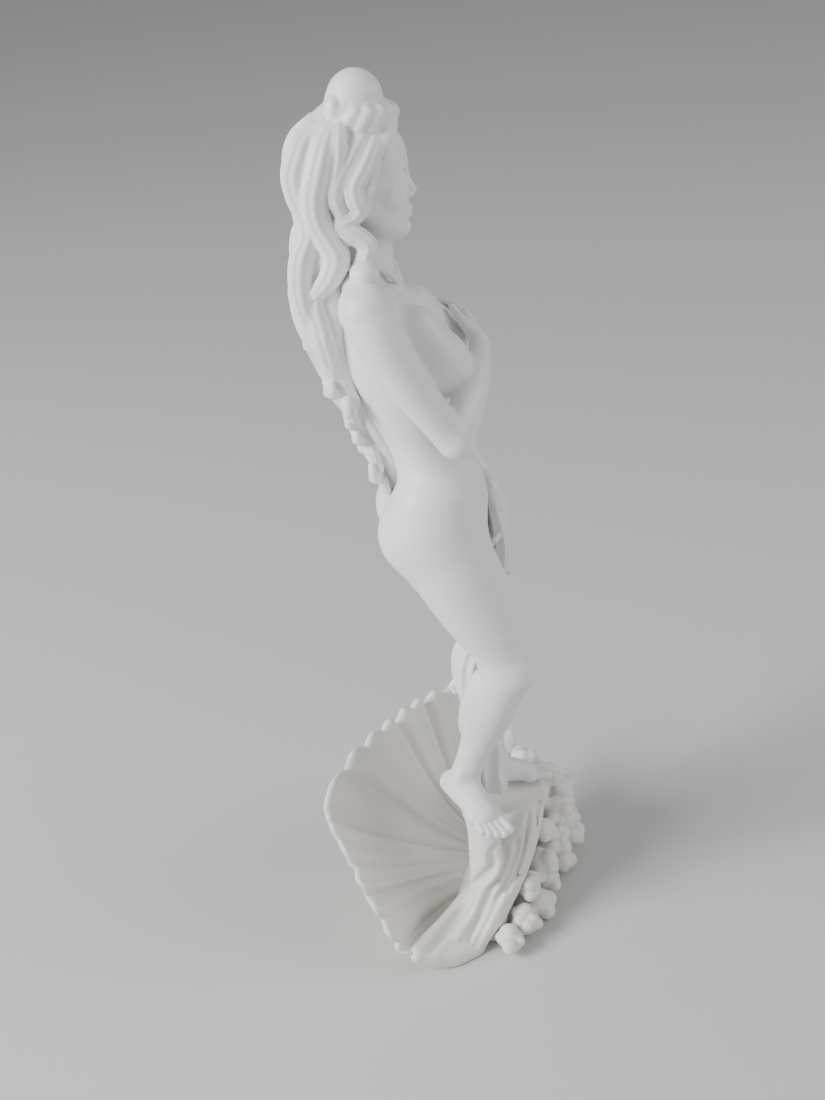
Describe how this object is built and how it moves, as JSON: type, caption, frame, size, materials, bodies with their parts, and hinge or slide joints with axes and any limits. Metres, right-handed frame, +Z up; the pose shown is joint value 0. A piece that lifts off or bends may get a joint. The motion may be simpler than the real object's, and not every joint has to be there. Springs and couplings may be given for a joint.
{
  "type": "aphrodite statue",
  "caption": "Goddess statuette standing on a scallop shell with sea foam, one arm over the chest and a cloth held at the hips.",
  "frame": {"origin": "middle of the flat underside, on the surface that the statue stands on, below the feet", "axes": "+Z up through the statue; the goddess faces -Y and her left side is +X"},
  "size_m": [0.084, 0.0896, 0.2901],
  "materials": {
    "cast_marble": "satin, white marble powder cast in resin"
  },
  "bodies": {
    "root": {"aphrodite_statue": "cast_marble"}
  },
  "joints": []
}
